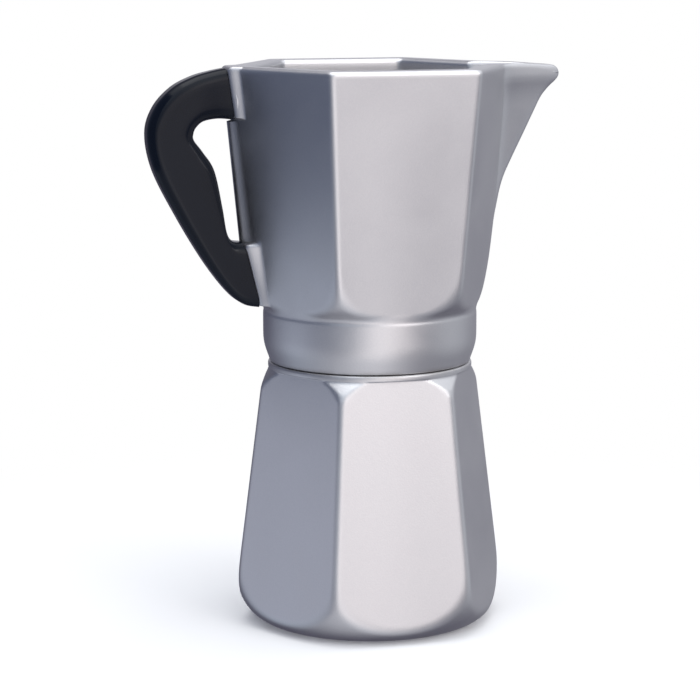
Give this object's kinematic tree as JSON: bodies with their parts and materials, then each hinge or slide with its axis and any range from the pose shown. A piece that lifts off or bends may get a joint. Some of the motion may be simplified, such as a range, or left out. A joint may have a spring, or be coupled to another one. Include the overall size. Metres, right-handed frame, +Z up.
{
  "type": "moka pot",
  "caption": "Six-sided stovetop moka pot: boiler and open spouted jug that screw together, with a funnel, gasket, filter plate, relief valve and closed-loop handle.",
  "frame": {"origin": "centre of the flat base, on the pot's axis", "axes": "+Z up along the pot's axis, +X towards the spout, -X towards the handle"},
  "size_m": [0.2055, 0.129, 0.272],
  "materials": {
    "cast_aluminium": "satin bead-blasted",
    "pressed_aluminium": "spun satin",
    "silicone": "matte",
    "brass": "turned",
    "fibre": "matte",
    "steel": "stainless",
    "black_handle": "gloss"
  },
  "bodies": {
    "boiler": {"boiler": "cast_aluminium", "valve_body": "brass", "valve_washer": "fibre", "valve_cap": "brass", "valve_spring": "steel"},
    "plunger": {"valve_plunger": "steel"},
    "funnel": {"funnel": "pressed_aluminium", "funnel_strainer": "pressed_aluminium"},
    "gasket": {"gasket": "silicone"},
    "filter_plate": {"filter_plate": "pressed_aluminium"},
    "jug": {"upper_chamber": "cast_aluminium", "riser_column": "cast_aluminium", "handle": "black_handle", "handle_insert_top": "brass", "handle_insert_bottom": "brass", "handle_screw_top": "steel", "handle_screw_bottom": "steel", "handle_washer_top": "steel", "handle_washer_bottom": "steel", "handle_seal_top": "silicone", "handle_seal_bottom": "silicone"}
  },
  "joints": [
    {"name": "valve_lift", "type": "slide", "parent": "boiler", "child": "plunger", "axis": [0, 1, 0], "range_m": [0, 0.0015], "stiffness_N_per_m": 2000, "springref_m": -0.004, "deforming": ["valve_spring"]},
    {"name": "funnel_lift", "type": "slide", "parent": "boiler", "child": "funnel", "axis": [0, 0, 1], "range_m": [0, 0.14]},
    {"name": "top_lift", "type": "slide", "parent": "funnel", "child": "gasket", "axis": [0, 0, 1], "range_m": [0, 0.06]},
    {"name": "unscrew", "type": "hinge", "parent": "gasket", "child": "filter_plate", "pos_m": [0, 0, 0.1472], "axis": [0, 0, 1], "range_deg": [0, 720]},
    {"name": "thread_rise", "type": "slide", "parent": "filter_plate", "child": "jug", "axis": [0, 0, 1], "range_m": [0, 0.00801]}
  ],
  "couplings": [
    {"joint": "thread_rise", "follows": "unscrew", "m_per_rad": 0.00063662}
  ]
}
